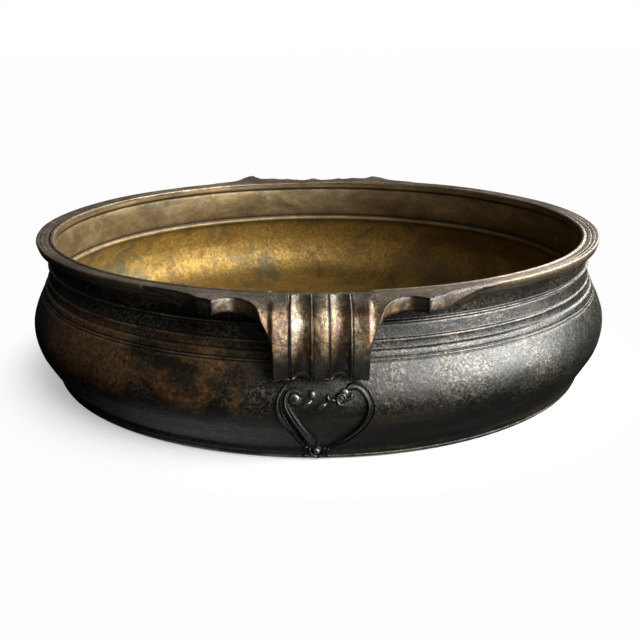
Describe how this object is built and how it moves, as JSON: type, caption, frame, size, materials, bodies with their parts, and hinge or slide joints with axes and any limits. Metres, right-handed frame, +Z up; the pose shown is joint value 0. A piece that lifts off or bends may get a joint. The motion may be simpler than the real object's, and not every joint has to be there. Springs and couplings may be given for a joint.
{
  "type": "urli bowl",
  "caption": "Wide shallow cast bell-metal bowl with a flat rim, stepped neck, fluted strap handles with cusped brackets, and a heart of cords and beads below each handle.",
  "frame": {"origin": "centre of the flat underside, on the surface that the bowl stands on", "axes": "+Z up along the bowl's turning axis; the front handle on -Y and the rear handle on +Y"},
  "size_m": [0.4188, 0.4513, 0.1031],
  "materials": {
    "bowl_bronze": "aged, dark brown-black outside, golden brown inside, semi-gloss and pitted",
    "handle_bronze": "aged warm brown, worn brighter on the ribs",
    "ornament_bronze": "aged near-black with a greenish cast, glossy on the raised edges"
  },
  "bodies": {
    "root": {"bowl": "bowl_bronze", "front_handle": "handle_bronze", "front_heart_left_limb": "ornament_bronze", "front_heart_right_limb": "ornament_bronze", "front_heart_cup": "ornament_bronze", "front_heart_left_scroll": "ornament_bronze", "front_heart_right_scroll": "ornament_bronze", "front_heart_top_bead": "ornament_bronze", "front_heart_left_bead": "ornament_bronze", "front_heart_right_bead": "ornament_bronze", "front_heart_tip_bead": "ornament_bronze", "front_heart_left_leg": "ornament_bronze", "front_heart_right_leg": "ornament_bronze", "rear_handle": "handle_bronze", "rear_heart_left_limb": "ornament_bronze", "rear_heart_right_limb": "ornament_bronze", "rear_heart_cup": "ornament_bronze", "rear_heart_left_scroll": "ornament_bronze", "rear_heart_right_scroll": "ornament_bronze", "rear_heart_top_bead": "ornament_bronze", "rear_heart_left_bead": "ornament_bronze", "rear_heart_right_bead": "ornament_bronze", "rear_heart_tip_bead": "ornament_bronze", "rear_heart_left_leg": "ornament_bronze", "rear_heart_right_leg": "ornament_bronze"}
  },
  "joints": []
}
